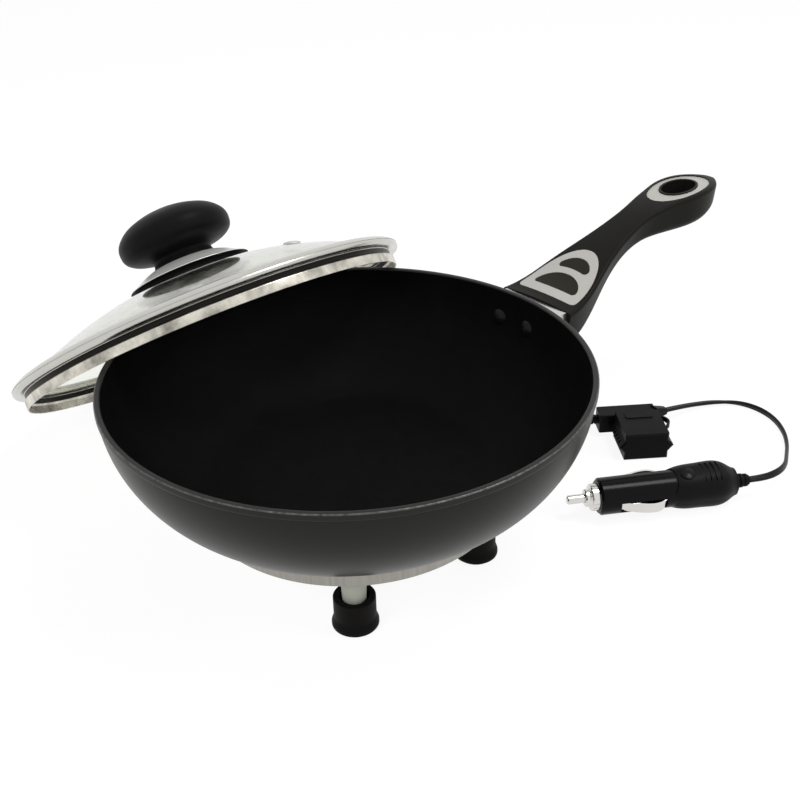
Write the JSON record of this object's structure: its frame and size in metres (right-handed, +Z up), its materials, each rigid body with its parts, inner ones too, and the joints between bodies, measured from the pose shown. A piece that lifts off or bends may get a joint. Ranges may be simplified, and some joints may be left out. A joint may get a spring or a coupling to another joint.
{
  "type": "electric skillet",
  "caption": "Vehicle electric skillet: round bowl on rubber feet with a long riveted handle, a loose domed glass lid, a lead with a blade-fuse holder and a vehicle plug.",
  "frame": {"origin": "on the table, under the pan's axis", "axes": "+X along the handle away from the pan, +Z up, +Y towards the side the lid leans on"},
  "size_m": [0.422, 0.374, 0.1514],
  "materials": {
    "pan_coating": "dark grey metallic coating outside, black non-stick inside",
    "bright_band": "fine ribbed, satin",
    "plate_steel": "plain pressed sheet",
    "mica": "mica sheet, slightly glossy",
    "ribbon": "oxidised resistance alloy",
    "fibre_pad": "matt ceramic fibre",
    "cutout": "plated case",
    "foot_rubber": "matt black",
    "spacer": "pale moulded",
    "screw_steel": "zinc plated",
    "bracket_steel": "bright formed sheet",
    "handle_black": "fine satin moulding",
    "handle_grey": "warm grey satin inlay",
    "window_dark": "dark olive tinted",
    "lid_glass": "clear tempered",
    "lid_steel": "polished roll, satin skirt",
    "knob_steel": "spun dish",
    "knob_black": "satin phenolic",
    "gasket_rubber": "matt black",
    "soft_washer": "translucent silicone",
    "gland_rubber": "matt black",
    "cord_black": "flat twin, satin",
    "holder_black": "moulded, fine satin",
    "fuse_body": "tinted clear moulding",
    "terminal_brass": "plated",
    "plug_black": "satin to glossy moulding",
    "plug_lens": "tinted indicator lens",
    "plug_metal": "nickel plated",
    "fuse_glass": "glass tube with metal ends"
  },
  "bodies": {
    "pan": {"pan_bowl": "pan_coating", "base_band": "bright_band", "bottom_plate": "plate_steel", "mica_upper": "mica", "heating_ribbon": "ribbon", "mica_lower": "mica", "insulation_pad": "fibre_pad", "thermal_cutout": "cutout", "rubber_foot_1": "foot_rubber", "foot_spacer_1": "spacer", "rubber_foot_2": "foot_rubber", "foot_spacer_2": "spacer", "rubber_foot_3": "foot_rubber", "foot_spacer_3": "spacer", "rubber_foot_4": "foot_rubber", "foot_spacer_4": "spacer", "foot_screws": "screw_steel", "foot_nuts": "screw_steel", "handle_bracket": "bracket_steel", "bracket_rivets": "screw_steel", "handle_grip": "handle_black", "handle_front_trim": "handle_grey", "handle_windows": "window_dark", "handle_end_trim": "handle_grey", "handle_screw": "screw_steel", "lead_gland": "gland_rubber", "heater_lead": "cord_black", "fuse_holder_body": "holder_black", "fuse_cap_tether": "holder_black", "blade_fuse": "fuse_body", "fuse_terminals": "terminal_brass", "power_cord": "cord_black", "plug_shell_upper": "plug_black", "plug_shell_lower": "plug_black", "plug_screw": "screw_steel", "plug_strain_relief": "gland_rubber", "plug_spring": "screw_steel", "plug_lens": "plug_lens"},
    "lid": {"lid_glass": "lid_glass", "lid_band": "lid_steel", "knob_plate": "knob_steel", "knob_gasket": "gasket_rubber", "knob": "knob_black", "knob_screw": "screw_steel", "knob_washer": "soft_washer", "steam_vent": "knob_steel"},
    "fuse_cap": {"fuse_holder_cap": "holder_black"},
    "plug_tip_group": {"plug_tip": "plug_metal", "plug_fuse": "fuse_glass"},
    "ring_nut": {"plug_ring_nut": "plug_metal"},
    "contact_left": {"plug_contact_left": "plug_metal"},
    "contact_right": {"plug_contact_right": "plug_metal"}
  },
  "joints": [
    {"name": "lid_lift", "type": "slide", "parent": "pan", "child": "lid", "axis": [0, 0, 1], "range_m": [0, 0.2]},
    {"name": "fuse_cap_pull", "type": "slide", "parent": "pan", "child": "fuse_cap", "axis": [-0.6018, -0.7986, 0], "range_m": [0, 0.028]},
    {"name": "plug_tip_press", "type": "slide", "parent": "pan", "child": "plug_tip_group", "axis": [0.8443, -0.5358, 0], "range_m": [0, 0.003], "stiffness_N_per_m": 400},
    {"name": "ring_nut_turn", "type": "hinge", "parent": "pan", "child": "ring_nut", "pos_m": [0.11356, -0.07034, 0.0126], "axis": [-0.8443, 0.5358, 0], "range_deg": [0, 1080]},
    {"name": "contact_left_press", "type": "slide", "parent": "pan", "child": "contact_left", "axis": [-0.5096, -0.803, -0.309], "range_m": [0, 0.0015], "stiffness_N_per_m": 400},
    {"name": "contact_right_press", "type": "slide", "parent": "pan", "child": "contact_right", "axis": [0.5096, 0.803, 0.309], "range_m": [0, 0.0015], "stiffness_N_per_m": 400}
  ]
}
